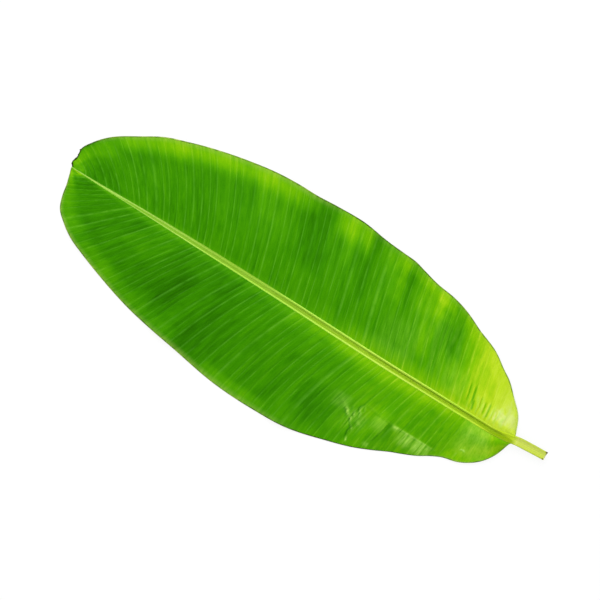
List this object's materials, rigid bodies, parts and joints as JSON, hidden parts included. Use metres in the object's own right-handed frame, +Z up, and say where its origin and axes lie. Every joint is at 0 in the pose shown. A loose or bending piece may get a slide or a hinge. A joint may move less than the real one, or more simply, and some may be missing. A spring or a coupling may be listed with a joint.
{
  "type": "banana leaf",
  "caption": "Fresh broad banana leaf with a wavy blade pleated along its side veins, a channelled midrib and a short cut stalk, lying flat with its upper side up.",
  "frame": {"origin": "middle of the leaf's bounding box, on the surface that the leaf lies on", "axes": "+X along the midrib from the cut stalk to the tip, +Z up out of the leaf's upper side, +Y to the left half of the blade"},
  "size_m": [0.8612, 0.3382, 0.0205],
  "materials": {
    "leaf": "fresh green leaf skin with a soft waxy sheen"
  },
  "bodies": {
    "root": {"banana_leaf": "leaf"}
  },
  "joints": []
}
